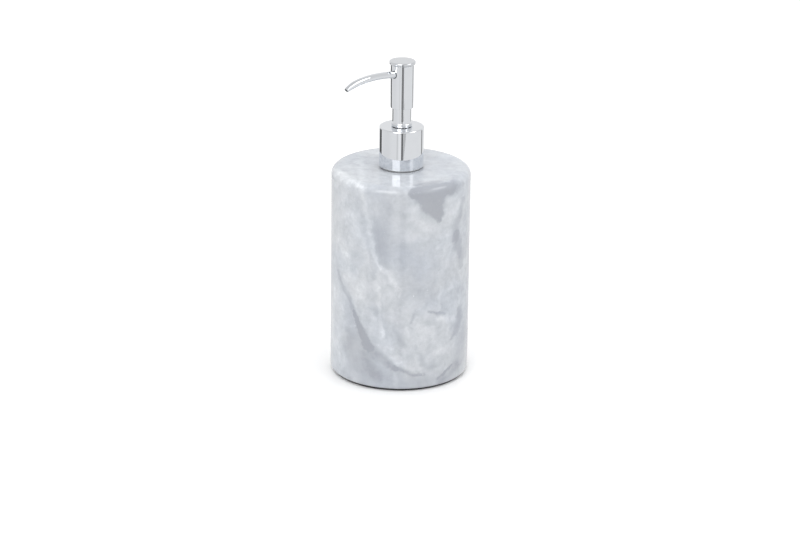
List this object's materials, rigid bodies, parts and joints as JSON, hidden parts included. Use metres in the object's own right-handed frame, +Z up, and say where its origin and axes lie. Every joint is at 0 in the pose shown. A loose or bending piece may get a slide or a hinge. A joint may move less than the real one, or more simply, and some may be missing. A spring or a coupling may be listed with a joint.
{
  "type": "soap pump dispenser",
  "caption": "Polished grey marble cylinder holding liquid soap, with a screw-on chrome lotion pump, a press-down swivelling head and a thin arched spout.",
  "frame": {"origin": "centre of the foot pad's underside, on the surface that the dispenser stands on", "axes": "+Z up along the body and pump axis; the spout points along -Y; +X to the right when looking along +Y, from the spout's side"},
  "size_m": [0.085, 0.0886, 0.1976],
  "materials": {
    "marble": "polished, pale blue-grey with white veins and darker patches",
    "plug_marble": "honed marble, the same stone as the body",
    "pad_rubber": "matt dark anti-slip pad",
    "neck_plastic": "moulded white plastic",
    "gasket_foam": "closed-cell foam washer",
    "pump_plastic": "moulded natural polypropylene",
    "seal_plastic": "soft moulded polyethylene",
    "tube_plastic": "extruded translucent tube",
    "chrome": "mirror-polished chrome",
    "spring_steel": "drawn stainless wire",
    "ball_steel": "polished stainless ball"
  },
  "bodies": {
    "bottle": {"marble_body": "marble", "base_plug": "plug_marble", "foot_pad": "pad_rubber", "neck_insert": "neck_plastic"},
    "pump": {"neck_gasket": "gasket_foam", "pump_cylinder": "pump_plastic", "dip_tube": "tube_plastic", "chaplet": "pump_plastic", "guide_sleeve": "chrome", "return_spring": "spring_steel"},
    "collar": {"closure": "pump_plastic", "collar_shell": "chrome"},
    "piston": {"piston_seal": "seal_plastic"},
    "head": {"stem": "pump_plastic", "piston_rod": "pump_plastic", "actuator_core": "pump_plastic", "head_shell": "chrome", "head_cap": "chrome", "spout_tube": "chrome", "spout_liner": "tube_plastic"},
    "ball": {"inlet_ball": "ball_steel"}
  },
  "joints": [
    {"name": "pump_rise", "type": "slide", "parent": "bottle", "child": "pump", "axis": [0, 0, 1], "range_m": [0, 0.00635]},
    {"name": "collar_turn", "type": "hinge", "parent": "pump", "child": "collar", "pos_m": [0, 0, 0.144], "axis": [0, 0, 1], "range_deg": [0, 720]},
    {"name": "press_stroke", "type": "slide", "parent": "pump", "child": "piston", "axis": [0, 0, -1], "range_m": [0, 0.011], "stiffness_N_per_m": 800, "springref_m": -0.0075, "deforming": ["return_spring"]},
    {"name": "head_swivel", "type": "hinge", "parent": "piston", "child": "head", "pos_m": [0, 0, 0.1684], "axis": [0, 0, 1], "continuous": true},
    {"name": "ball_lift", "type": "slide", "parent": "pump", "child": "ball", "axis": [0, 0, 1], "range_m": [0, 0.0018]}
  ],
  "couplings": [
    {"joint": "pump_rise", "follows": "collar_turn", "m_per_rad": 0.00050532}
  ]
}
